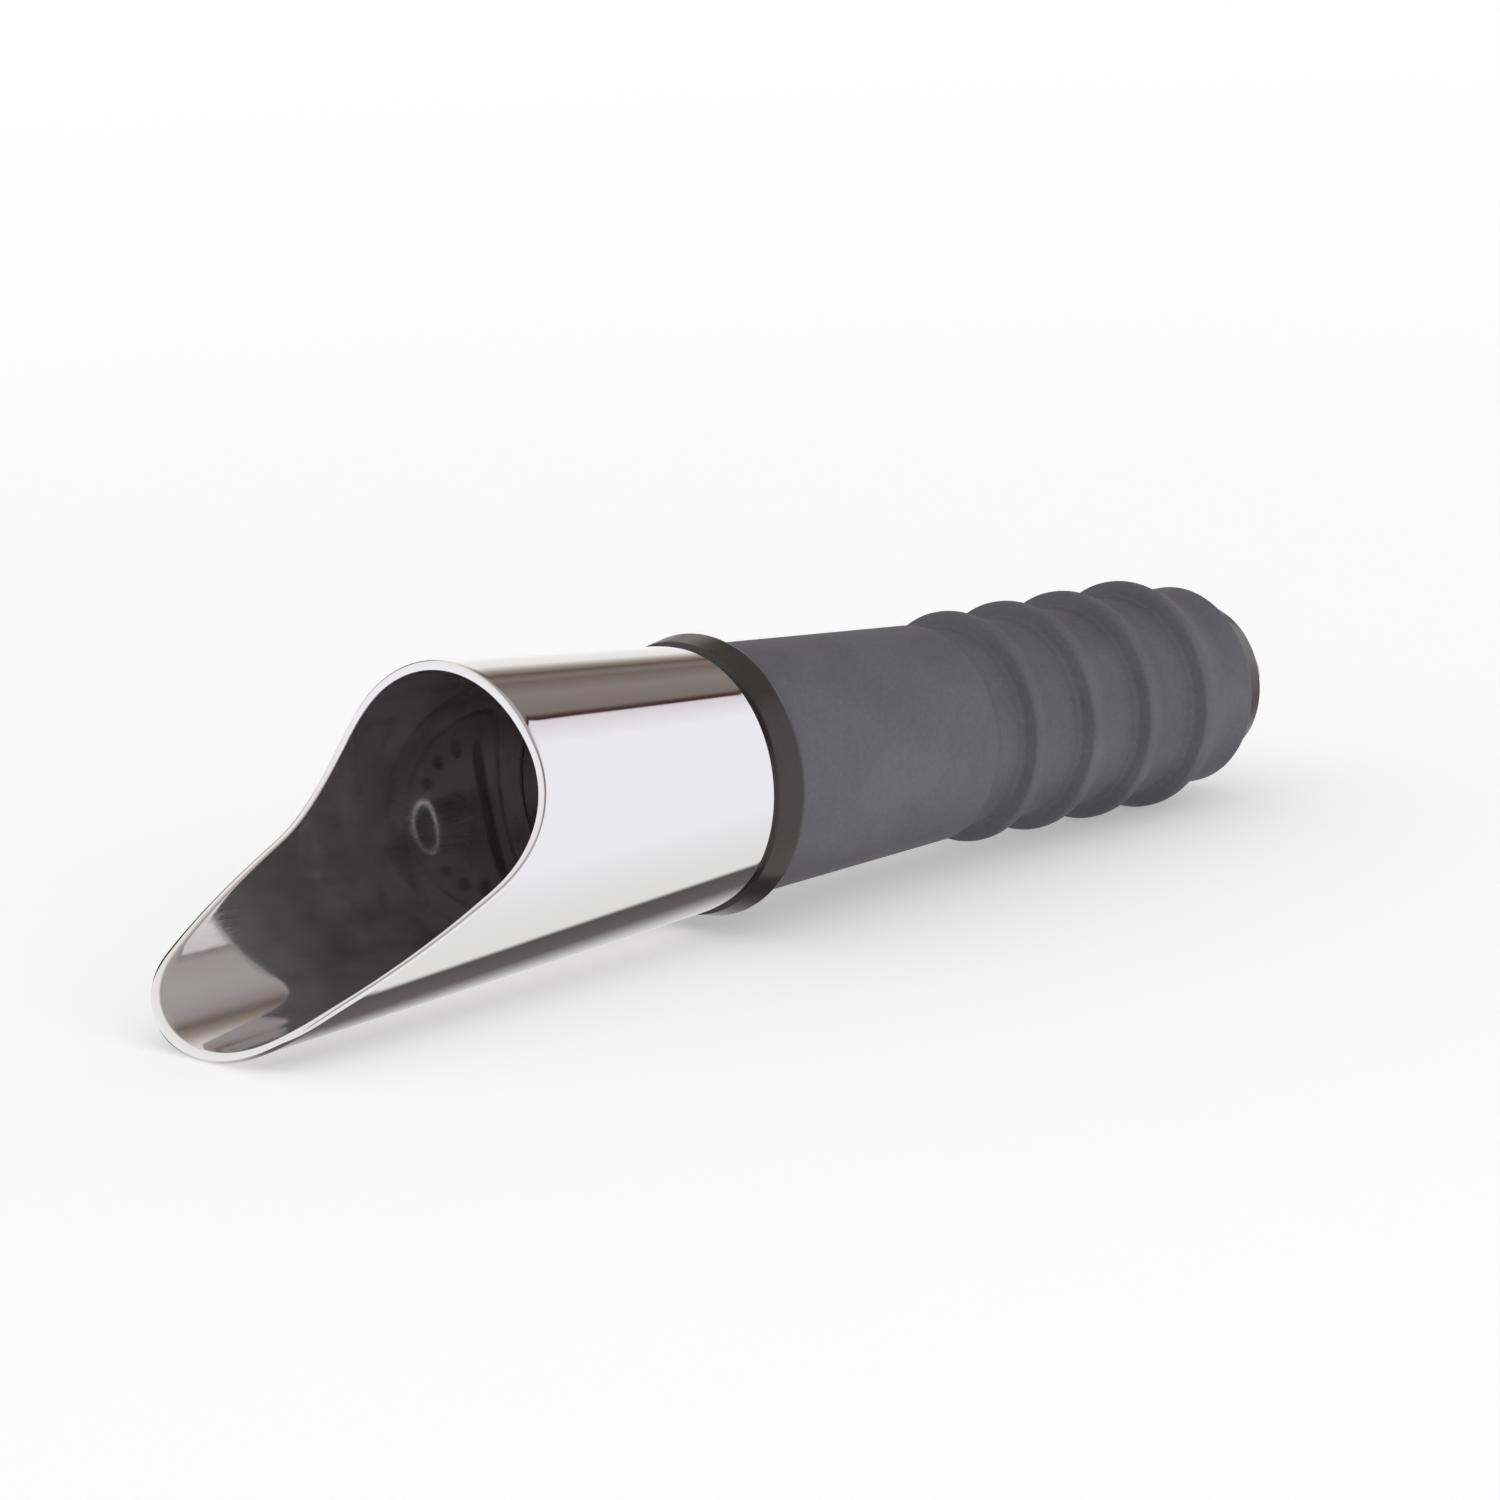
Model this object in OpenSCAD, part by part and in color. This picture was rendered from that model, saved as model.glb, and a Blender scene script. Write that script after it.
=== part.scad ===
// Pourer that airs wine: a flared steel spout with a slanting mouth, on a
// tapered stopper that seals the neck of a bottle.
//
// Every piece is drawn on one axis, +Z from the bottle towards the mouth, with
// the foot of the spout at height 0 and the long lip of the mouth towards +X.
// lying() then lays the whole pourer down as it comes to rest on a table: on
// the tip of its lip and on the last rib of its stopper.

/* [Spout] */
// Outer diameter of the steel spout at its foot
foot_d = 21.9; // [20:0.1:25]
// Thickness of the steel
spout_wall = 0.8; // [0.6:0.05:1.2]
// Slope of the flaring wall to the axis, in degrees
spout_flare = 4.6; // [2:0.1:7]
// Length of the spout along its long side, from the foot to the tip of the lip
long_side = 52; // [46:0.5:58]
// Length of the spout along its short side, opposite the lip
short_side = 26; // [22:0.2:30]
// Slope of the mouth over the short side, in degrees
short_cut = 3; // [0:0.5:8]
// Slope of the mouth down to the lip, in degrees
lip_cut = 62.5; // [58:0.5:67]
// Radius of the bend between the two slopes of the mouth
mouth_bend = 12; // [7:0.5:14]
// Radius of the bend that rounds the mouth off towards the tip of the lip
lip_round = 15; // [8:0.5:18]
// Slope of the mouth at the tip of the lip, in degrees
tip_cut = 30; // [20:1:40]

/* [Flange] */
// How far the front edge of the flange stands out past the foot of the spout
flange_overhang = 0.3; // [0.1:0.05:0.5]
// How much the flange swells from its front edge to its widest ring
flange_swell = 0.4; // [0.2:0.05:0.7]
// Depth of the flange, from the spout back to the stopper
flange_depth = 2.8; // [2.2:0.1:4]
// Radius of the round edge behind its widest ring
flange_round = 0.55; // [0.3:0.05:0.8]
// How far its widest ring stands out past the stopper under it
flange_lip = 1.05; // [0.8:0.05:1.3]

/* [Stopper] */
// Slope of the collar to the axis, in degrees
collar_taper = 3.3; // [2.5:0.1:4.5]
// Length of the tapered collar
collar_length = 25; // [20:0.5:30]
// Wall of the stopper between its ribs
sleeve_wall = 1.55; // [1.2:0.05:2]
// How far the ribs stand out, to a little more than the mouth of a bottle
rib_height = 1.3; // [1:0.1:1.8]
// Number of ribs
rib_count = 4; // [3:1:5]
// Distance from one rib to the next
rib_pitch = 7; // [5:0.5:8]
// Width of the flat crest of a rib
rib_crest = 0.8; // [0.6:0.1:1.2]
// Length of the slope that leads a rib into the bottle
rib_lead = 2.6; // [2:0.1:3.2]
// Plain length before the first rib and after the last one
plug_margin = 4; // [3.5:0.5:6]

/* [Core] */
// Outer diameter of the tube inside the stopper
core_d = 13.8; // [13:0.1:14.4]
// Wall of that tube, round the channel that the wine runs through
core_wall = 1.5; // [1.2:0.1:1.9]
// Height of the neck that the spout is pushed on to
neck_height = 8; // [7.5:0.5:10]
// Wall between the chamber in the top of the neck and the seal's groove
chamber_wall = 1; // [0.8:0.05:1.4]
// Depth of the chamber in the top of the neck
chamber_depth = 7; // [6.5:0.5:9]
// How far the barb at the bottle end stands out past the tube
barb_height = 0.8; // [0.5:0.1:1.2]
// Length of the barb
barb_length = 3; // [2.5:0.5:4]
// Width of each spoke that holds the air tube
spoke_w = 1.2; // [1:0.1:1.8]
// Number of spokes that hold the air tube
spoke_count = 3; // [3:1:4]

/* [Air tube] */
// Outer diameter of the air tube
tube_d = 4; // [3.6:0.1:4.4]
// Wall of the air tube
tube_wall = 0.4; // [0.3:0.05:0.6]
// How far the air tube stands out of the aerator
tube_top = 3; // [2:0.5:4]
// How far the air tube reaches past the end of the core
tube_reach = 5; // [3:0.5:12]

/* [Aerator and strainer] */
// Thickness of the aerator's face, with its jets
jet_face = 2.4; // [2:0.1:3]
// Wall of the aerator's skirt
skirt_wall = 1.2; // [1:0.1:1.4]
// Number of jets
jet_count = 10; // [8:1:12]
// Diameter of a jet
jet_d = 1.6; // [1.2:0.1:1.8]
// Slope of a jet towards the wall of the spout, in degrees
jet_slope = 18; // [10:1:24]
// Thickness of the strainer
strainer_t = 0.5; // [0.4:0.1:0.8]
// Diameter of a hole in the strainer
strainer_hole = 0.9; // [0.7:0.1:1]
// Distance from one hole to the next along a ring of the strainer
strainer_pitch = 1.68; // [1.4:0.02:2]
// Least width of metal between two rings of holes
strainer_land = 0.2; // [0.15:0.05:0.4]

/* [Seal] */
// Thickness of the round seal under the spout
seal_section = 1.8; // [1.5:0.1:2]
// Room for the seal along its groove
seal_room = 0.3; // [0.2:0.05:0.5]

/* [Fits] */
// Gap between pieces that are pushed together
push_fit = 0.05; // [0.03:0.01:0.1]
// Small chamfer on moulded edges
soft_edge = 0.3; // [0.2:0.05:0.4]

/* [Hidden] */
$fn = 96;

// Cutters run past the faces that they open
over = 1;

// Spout: radius of the outer wall at a height, and the mouth's outline
foot_r = foot_d / 2;
function spout_r(z) = foot_r + z * tan(spout_flare);
function spout_inner_r(z) = spout_r(z) - spout_wall / cos(spout_flare);
tip_r = spout_r(long_side);
tip_point = [tip_r, long_side];
back_point = [-spout_r(short_side), short_side];
short_way = [cos(short_cut), sin(short_cut)];
lip_way = [cos(lip_cut), sin(lip_cut)];
tip_way = [cos(tip_cut), sin(tip_cut)];
round_middle = tip_point + lip_round * [tip_way[1], -tip_way[0]];
lip_start = round_middle + lip_round * [-lip_way[1], lip_way[0]];
mouth_span = lip_start - back_point;
short_run = (mouth_span[0] * lip_way[1] - mouth_span[1] * lip_way[0]) / sin(lip_cut - short_cut);
mouth_corner = back_point + short_run * short_way;
bend_tangent = mouth_bend * tan((lip_cut - short_cut) / 2);
bend_start = mouth_corner - bend_tangent * short_way;
bend_end = mouth_corner + bend_tangent * lip_way;
bend_centre = bend_start + mouth_bend * [-short_way[1], short_way[0]];
blank_top = long_side + over;

// Flange: it swells from the foot of the spout to its widest ring, then steps
// in over a round edge to the collar of the stopper
flange_front_r = foot_r + flange_overhang;
flange_r = flange_front_r + flange_swell;
flange_widest = flange_round - flange_depth;
round_centre = [flange_r - flange_round, flange_widest];
swell_line = [flange_front_r, 0] - round_centre;
swell_turn = atan2(swell_line[1], swell_line[0]) - acos(flange_round / norm(swell_line));
swell_end = round_centre + flange_round * [cos(swell_turn), sin(swell_turn)];
collar_r = flange_r - flange_lip;

// Tube of the core, and the sleeve of the stopper round it
core_r = core_d / 2;
channel_r = core_r - core_wall;
sleeve_r = core_r + push_fit;
plug_r = sleeve_r + sleeve_wall;
rib_r = plug_r + rib_height;

// Stopper, from the underside of the flange down to its end, with a step
// at 45 degrees where the collar ends
stopper_top = -flange_depth;
collar_end = stopper_top - collar_length;
collar_end_r = collar_r - collar_length * tan(collar_taper);
step_end = collar_end - abs(collar_end_r - plug_r);
rib_back = rib_crest / 2;
first_rib = collar_end - plug_margin;
last_rib_end = first_rib - (rib_count - 1) * rib_pitch - rib_crest;
stopper_end = last_rib_end - rib_lead - plug_margin;

// Ends of the core: the barb, and the neck inside the spout
barb_r = core_r + barb_height;
core_end = stopper_end - barb_length;
function neck_r(z) = spout_inner_r(z) - push_fit;

// Air tube and the ring that holds it at the bottle end of the core
tube_r = tube_d / 2;
holder_r = tube_r + push_fit;
holder_ring = spoke_w;
holder_height = barb_length;

// Seal, half way up the neck, between the neck and the wall of the spout
seal_r = seal_section / 2;
seal_z = neck_height / 2;
seal_centre_r = spout_inner_r(seal_z) - (seal_r + push_fit / 2) / cos(spout_flare);
groove_floor_r = seal_centre_r - seal_r - push_fit / 2;
groove_half = (seal_section + seal_room) / 2;

// Chamber in the top of the neck, inside the seal's groove
chamber_r = groove_floor_r - chamber_wall;
chamber_floor = neck_height - chamber_depth;

// Aerator, on the strainer, with its jets between the hub and the skirt
strainer_top = chamber_floor + strainer_t;
aerator_r = chamber_r - push_fit;
skirt_r = aerator_r - skirt_wall;
face_low = neck_height - jet_face;
hub_r = holder_r + skirt_wall;
jet_ring_r = (hub_r + skirt_r) / 2 - jet_face / 2 * tan(jet_slope);
strainer_reach = channel_r - holder_r;
strainer_rings = floor(strainer_reach / (strainer_hole + strainer_land)) - 1;
strainer_gap = strainer_reach / (strainer_rings + 1);
function strainer_r(ring) = holder_r + ring * strainer_gap;

// How the pourer lies: the smallest tilt that brings a piece down to the table
function lie_angle(r, z) = atan((tip_r - r) / (long_side - z));
rest_tilt = min(lie_angle(rib_r, last_rib_end), lie_angle(flange_r, flange_widest));
rest_height = tip_r * cos(rest_tilt) - long_side * sin(rest_tilt);
tube_end = core_end - tube_reach;
front_x = long_side * cos(rest_tilt) + tip_r * sin(rest_tilt);
back_x = tube_end * cos(rest_tilt) - tube_r * sin(rest_tilt);

module lying() {
    translate([-(front_x + back_x) / 2, 0, rest_height])
        rotate([0, 90 - rest_tilt, 0])
            children();
}

// A ring of copies, the first one towards +X
module ring_of(count) {
    for (i = [0:count - 1])
        rotate([0, 0, i * 360 / count])
            children();
}

// Everything in front of the mouth: two straight slopes with a hollow bend
// between them, and a round end at the tip of the lip
module mouth_outline() {
    far_left = bend_start - foot_d * short_way;
    difference() {
        union() {
            polygon([
                far_left,
                bend_start,
                bend_centre,
                bend_end,
                lip_start,
                round_middle,
                [round_middle[0], blank_top + over],
                [far_left[0], blank_top + over]
            ]);
            translate(bend_centre)
                circle(r = mouth_bend);
        }
        translate(round_middle)
            circle(r = lip_round);
    }
}

module spout() {
    color([0.80, 0.80, 0.82])
    lying()
        difference() {
            rotate_extrude()
                polygon([
                    [spout_inner_r(0), 0],
                    [foot_r, 0],
                    [spout_r(blank_top), blank_top],
                    [spout_inner_r(blank_top), blank_top]
                ]);
            rotate([90, 0, 0])
                linear_extrude(height = 4 * tip_r, center = true)
                    mouth_outline();
        }
}

// Section of the flange, with its widest ring near the back
module flange_section() {
    polygon([
        [0, -flange_depth],
        [round_centre[0], -flange_depth],
        swell_end,
        [flange_front_r, 0],
        [0, 0]
    ]);
    translate(round_centre)
        circle(r = flange_round);
}

module core_section() {
    difference() {
        union() {
            flange_section();
            polygon([
                [0, -over],
                [neck_r(0), -over],
                [neck_r(0), 0],
                [neck_r(neck_height - soft_edge), neck_height - soft_edge],
                [neck_r(neck_height) - soft_edge, neck_height],
                [0, neck_height]
            ]);
            translate([0, core_end])
                square([core_r, -core_end]);
            polygon([
                [0, stopper_end],
                [barb_r, stopper_end],
                [barb_r, stopper_end - soft_edge],
                [core_r - soft_edge, core_end],
                [0, core_end]
            ]);
        }
        translate([-over, core_end - over])
            square([channel_r + over, neck_height - core_end + 2 * over]);
        translate([-over, chamber_floor])
            square([chamber_r + over, chamber_depth + over]);
        translate([groove_floor_r, seal_z - groove_half])
            square([foot_r, 2 * groove_half]);
    }
}

module core() {
    color([0.13, 0.12, 0.13])
    lying() {
        rotate_extrude()
            core_section();
        translate([0, 0, core_end])
            difference() {
                union() {
                    cylinder(r = holder_r + holder_ring, h = holder_height);
                    ring_of(spoke_count)
                        translate([holder_r + holder_ring / 2, -spoke_w / 2, 0])
                            cube([(channel_r + core_r) / 2 - holder_r - holder_ring / 2, spoke_w, holder_height]);
                }
                translate([0, 0, -over])
                    cylinder(r = holder_r, h = holder_height + 2 * over);
            }
    }
}

// One rib: a flat crest with a long slope on the side that enters the bottle
module rib_section(z) {
    polygon([
        [core_r, z + rib_back],
        [plug_r, z + rib_back],
        [rib_r, z],
        [rib_r, z - rib_crest],
        [plug_r, z - rib_crest - rib_lead],
        [core_r, z - rib_crest - rib_lead]
    ]);
}

module stopper() {
    color([0.28, 0.27, 0.29])
    lying()
        rotate_extrude()
            difference() {
                union() {
                    polygon([
                        [0, stopper_top],
                        [collar_r - soft_edge, stopper_top],
                        [collar_r, stopper_top - soft_edge],
                        [collar_end_r, collar_end],
                        [plug_r, step_end],
                        [0, step_end]
                    ]);
                    polygon([
                        [0, collar_end],
                        [plug_r, collar_end],
                        [plug_r, stopper_end + 2 * soft_edge],
                        [plug_r - soft_edge, stopper_end],
                        [0, stopper_end]
                    ]);
                    for (i = [0:rib_count - 1])
                        rib_section(first_rib - i * rib_pitch);
                }
                translate([-over, stopper_end - over])
                    square([sleeve_r + over, stopper_top - stopper_end + 2 * over]);
            }
}

module spout_seal() {
    color([0.20, 0.20, 0.21])
    lying()
        rotate_extrude()
            translate([seal_centre_r, seal_z])
                circle(r = seal_r);
}

module aerator() {
    color([0.16, 0.16, 0.17])
    lying()
        difference() {
            rotate_extrude()
                polygon([
                    [holder_r, strainer_top + soft_edge],
                    [hub_r, strainer_top + soft_edge],
                    [hub_r, face_low],
                    [skirt_r, face_low],
                    [skirt_r, strainer_top],
                    [aerator_r, strainer_top],
                    [aerator_r, neck_height - soft_edge],
                    [aerator_r - soft_edge, neck_height],
                    [holder_r, neck_height]
                ]);
            ring_of(jet_count)
                translate([jet_ring_r, 0, face_low])
                    rotate([0, jet_slope, 0])
                        translate([0, 0, -over / 2])
                            cylinder(d = jet_d, h = jet_face + 2 * over);
        }
}

module strainer() {
    color([0.70, 0.70, 0.72])
    lying()
        translate([0, 0, chamber_floor])
            difference() {
                cylinder(r = aerator_r, h = strainer_t);
                translate([0, 0, -over])
                    cylinder(r = holder_r, h = strainer_t + 2 * over);
                for (ring = [1:strainer_rings])
                    ring_of(floor(2 * PI * strainer_r(ring) / strainer_pitch))
                        translate([strainer_r(ring), 0, -over])
                            cylinder(d = strainer_hole, h = strainer_t + 2 * over);
            }
}

module air_tube() {
    color([0.72, 0.72, 0.74])
    lying()
        translate([0, 0, tube_end])
            difference() {
                cylinder(r = tube_r, h = neck_height + tube_top - tube_end);
                translate([0, 0, -over])
                    cylinder(r = tube_r - tube_wall, h = neck_height + tube_top - tube_end + 2 * over);
            }
}

spout();
core();
stopper();
spout_seal();
aerator();
strainer();
air_tube();
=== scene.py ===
# %% [markdown]
# # An aerating pourer, dressed for its picture
#
# The pourer is a flared steel spout on a black core, with a soft ribbed stopper that seals the
# neck it is pushed into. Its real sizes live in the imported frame, which this file loads first
# and never changes. What is made here is the finish: rounded edges, polished steel, moulded
# plastic and grained silicone. Sizes are written in millimetres, as on a drawing, and each
# finished mesh is turned into metres when it is laid in place.

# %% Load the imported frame
import math

import bmesh
import bpy
from mathutils import Matrix, Vector


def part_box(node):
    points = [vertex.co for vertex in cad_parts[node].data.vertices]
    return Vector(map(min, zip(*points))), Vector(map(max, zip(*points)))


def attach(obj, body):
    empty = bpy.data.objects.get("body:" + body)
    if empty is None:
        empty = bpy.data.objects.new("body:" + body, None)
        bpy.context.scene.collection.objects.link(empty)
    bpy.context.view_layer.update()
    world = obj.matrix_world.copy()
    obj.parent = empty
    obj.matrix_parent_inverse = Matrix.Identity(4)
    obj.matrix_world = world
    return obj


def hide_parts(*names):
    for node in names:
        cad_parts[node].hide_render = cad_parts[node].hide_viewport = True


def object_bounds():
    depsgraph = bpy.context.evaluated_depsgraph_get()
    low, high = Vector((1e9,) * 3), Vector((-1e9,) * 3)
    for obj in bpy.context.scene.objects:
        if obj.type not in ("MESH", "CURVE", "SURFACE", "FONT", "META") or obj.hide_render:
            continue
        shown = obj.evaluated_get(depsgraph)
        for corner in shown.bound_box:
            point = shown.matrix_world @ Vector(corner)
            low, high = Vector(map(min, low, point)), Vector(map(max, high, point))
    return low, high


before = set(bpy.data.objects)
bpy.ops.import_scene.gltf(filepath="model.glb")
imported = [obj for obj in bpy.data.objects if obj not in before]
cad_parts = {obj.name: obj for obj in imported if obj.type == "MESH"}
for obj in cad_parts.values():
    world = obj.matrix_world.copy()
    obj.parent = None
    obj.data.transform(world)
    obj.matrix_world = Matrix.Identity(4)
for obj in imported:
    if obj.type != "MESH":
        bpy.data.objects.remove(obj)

cad_low, cad_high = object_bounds()
MM = 0.001
print("box of the frame in mm:", [round((high - low) / MM, 2) for low, high in zip(cad_low, cad_high)])

# %% [markdown]
# ## Where the axis lies
#
# Every piece of the pourer is round, and all share one axis. It is easiest to draw them upright
# on that axis and to lay them down at the end. The pourer rests on its lip and on its last rib,
# so the axis is not level. The slope could be copied as a number, but the frame knows it: the
# air tube and the round seal both sit on the axis, so their middles give two points of it.

# %% The axis, from two pieces that sit on it
SEAL_HEIGHT = 4.0


def middle(node):
    low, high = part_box(node)
    return (low + high) / 2


AXIS = (middle("spout_seal") - middle("air_tube")).normalized()
FOOT = middle("spout_seal") - AXIS * SEAL_HEIGHT * MM
TURN = Vector((0, 0, 1)).rotation_difference(AXIS).to_matrix().to_4x4()
LYING = Matrix.Translation(FOOT) @ TURN @ Matrix.Scale(MM, 4)
print("the axis rises", round(math.degrees(math.asin(AXIS.z)), 2), "degrees towards the mouth")

# %% [markdown]
# ## The camera
#
# The photograph looks at the mouth from the front right and a little above. Turning the camera
# until a render looks similar would work, but the outlines of a round spout fix the view much
# better: its edges and its mouth fit only one direction, one distance and one lean. Those are
# the values here. The lens is longer than the photograph's, so that the pourer fills the frame
# with the same perspective.

# %% Camera at the photograph's viewing angle
CAMERA_TURN = math.radians(45.92)
CAMERA_HEIGHT = math.radians(12.99)
CAMERA_LEAN = math.radians(-2.21)
CAMERA_DISTANCE = 0.651
LENS = 190.0

target = (cad_low + cad_high) / 2
back = Vector((
    math.cos(CAMERA_TURN) * math.cos(CAMERA_HEIGHT),
    math.sin(CAMERA_TURN) * math.cos(CAMERA_HEIGHT),
    math.sin(CAMERA_HEIGHT),
))
camera_data = bpy.data.cameras.new("camera")
camera_data.lens = LENS
camera_data.sensor_width = 36.0
camera_data.clip_start = 0.01
camera = bpy.data.objects.new("camera", camera_data)
bpy.context.collection.objects.link(camera)
level = back.to_track_quat("Z", "Y").to_matrix().to_4x4()
camera.matrix_world = (
    Matrix.Translation(target + back * CAMERA_DISTANCE) @ level @ Matrix.Rotation(CAMERA_LEAN, 4, "Z")
)
bpy.context.scene.camera = camera
print("the camera stands at", [round(v, 3) for v in camera.matrix_world.translation])

# %% [markdown]
# ## Two helpers for materials
#
# A colour is easiest to note as the hex code that a screen shows, but a shader reckons in linear
# light, so one function turns the first into the second. The other adds a node to a material,
# with its settings and its links, and keeps each material short enough to read.


# %% Colours and nodes
def linear(code):
    channels = [int(code[i:i + 2], 16) / 255 for i in (1, 3, 5)]
    return [c / 12.92 if c <= 0.04045 else ((c + 0.055) / 1.055) ** 2.4 for c in channels] + [1.0]


def add_node(tree, kind, settings=None, inputs=None):
    node = tree.nodes.new(kind)
    for name, value in (settings or {}).items():
        setattr(node, name, value)
    for name, value in (inputs or {}).items():
        if isinstance(value, bpy.types.NodeSocket):
            tree.links.new(value, node.inputs[name])
        else:
            node.inputs[name].default_value = value
    return node


def new_material(name):
    material = bpy.data.materials.new(name)
    material.use_nodes = True
    material.node_tree.nodes.clear()
    return material, material.node_tree


def on_axis(tree):
    """Object coordinates in metres, turned so that Z runs along the pourer and starts at the foot."""
    place = add_node(tree, "ShaderNodeTexCoord")
    return add_node(
        tree,
        "ShaderNodeMapping",
        {"vector_type": "TEXTURE"},
        {"Vector": place.outputs["Object"], "Location": FOOT, "Rotation": TURN.to_euler()},
    )


def finish(tree, shader):
    add_node(tree, "ShaderNodeOutputMaterial", inputs={"Surface": shader.outputs["BSDF"]})


# %% [markdown]
# ## Polished stainless steel
#
# The spout is thin stainless sheet, drawn into a flare and mirror polished on a wheel. Perfect
# steel would look computed. The real one has a very slight waviness left by the wheel, which
# bends the edges of its reflections a little, and faint smears that blur them here and there.
# Both come from soft noise: one in the bump, a few micrometres deep, and one in the roughness.


# %% Polished stainless steel
def polished_stainless_steel():
    material, tree = new_material("polished_stainless_steel")
    place = on_axis(tree)
    smears = add_node(
        tree,
        "ShaderNodeTexNoise",
        inputs={"Vector": place.outputs["Vector"], "Scale": 1 / (9 * MM), "Detail": 3.0},
    )
    roughness = add_node(
        tree,
        "ShaderNodeMapRange",
        inputs={
            "Value": smears.outputs["Fac"],
            "From Min": 0.35,
            "From Max": 0.7,
            "To Min": 0.035,
            "To Max": 0.075,
        },
    )
    waves = add_node(
        tree,
        "ShaderNodeTexNoise",
        inputs={"Vector": place.outputs["Vector"], "Scale": 1 / (14 * MM), "Detail": 1.0},
    )
    bump = add_node(
        tree,
        "ShaderNodeBump",
        inputs={"Height": waves.outputs["Fac"], "Strength": 1.0, "Distance": 0.02 * MM},
    )
    shader = add_node(
        tree,
        "ShaderNodeBsdfPrincipled",
        inputs={
            "Base Color": linear("#E9E9EC"),
            "Metallic": 1.0,
            "Roughness": roughness.outputs["Result"],
            "Normal": bump.outputs["Normal"],
        },
    )
    finish(tree, shader)
    return material


POLISHED_STEEL = polished_stainless_steel()
print("made", POLISHED_STEEL.name)

# %% [markdown]
# ## Drawn stainless steel, inside the spout
#
# The wheel hardly reaches inside, so the bore keeps the fine lines that drawing leaves along it.
# In the photograph it mirrors its surroundings sharply, but under a pale veil, as if a thin dull
# film lay on it. A rough metal would blur the mirror image as well. So the metal stays smooth,
# and a metallic value just under one gives the veil: most light is mirrored, the rest is
# scattered. Soft noise makes the veil uneven. Lines along a tube follow its angle and hardly
# change along its axis. Noise on stretched coordinates gives that: the axis is squeezed to a
# fiftieth before the noise reads it.


# %% Drawn stainless steel
LINES_ALONG_AXIS = (1.0, 1.0, 0.02)


def drawn_stainless_steel(name, colour, film, line_mm, depth_mm, smoothest, roughest, squeeze):
    material, tree = new_material(name)
    place = on_axis(tree)
    stretched = add_node(
        tree,
        "ShaderNodeMapping",
        inputs={"Vector": place.outputs["Vector"], "Scale": squeeze},
    )
    lines = add_node(
        tree,
        "ShaderNodeTexNoise",
        inputs={"Vector": stretched.outputs["Vector"], "Scale": 1 / (line_mm * MM), "Detail": 2.0},
    )
    roughness = add_node(
        tree,
        "ShaderNodeMapRange",
        inputs={
            "Value": lines.outputs["Fac"],
            "From Min": 0.4,
            "From Max": 0.65,
            "To Min": smoothest,
            "To Max": roughest,
        },
    )
    marks = add_node(
        tree,
        "ShaderNodeTexNoise",
        inputs={"Vector": place.outputs["Vector"], "Scale": 1 / (5 * MM), "Detail": 5.0},
    )
    bare = add_node(
        tree,
        "ShaderNodeMapRange",
        inputs={
            "Value": marks.outputs["Fac"],
            "From Min": 0.3,
            "From Max": 0.7,
            "To Min": 1.0 - film,
            "To Max": 1.0 - film / 3,
        },
    )
    bump = add_node(
        tree,
        "ShaderNodeBump",
        inputs={"Height": lines.outputs["Fac"], "Strength": 1.0, "Distance": depth_mm * MM},
    )
    shader = add_node(
        tree,
        "ShaderNodeBsdfPrincipled",
        inputs={
            "Base Color": linear(colour),
            "Metallic": bare.outputs["Result"],
            "Roughness": roughness.outputs["Result"],
            "Normal": bump.outputs["Normal"],
        },
    )
    finish(tree, shader)
    return material


BORE_STEEL = drawn_stainless_steel(
    "drawn_stainless_steel",
    "#D4CFD2",
    film=0.14,
    line_mm=0.09,
    depth_mm=0.0001,
    smoothest=0.05,
    roughest=0.12,
    squeeze=LINES_ALONG_AXIS,
)
TUBE_STEEL = drawn_stainless_steel(
    "drawn_stainless_tube",
    "#CFCDCC",
    film=0.04,
    line_mm=0.25,
    depth_mm=0.004,
    smoothest=0.2,
    roughest=0.36,
    squeeze=LINES_ALONG_AXIS,
)
print("made", BORE_STEEL.name, "and", TUBE_STEEL.name)

# %% [markdown]
# ## Moulded black plastic and silicone
#
# The core is taken to be ABS from a polished mould, black with a soft gloss. The stopper is taken
# to be silicone from an eroded mould, which prints a fine grain on it, so it looks grey and matt
# although it is dyed black. Both are the same recipe with other numbers: a dark base, a grain in
# the bump, and a little cloudiness in colour and roughness, since no moulding is even all over.
# Such a grain is about 0.1 mm and would vanish in a picture, so it is drawn a few times as coarse.


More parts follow.
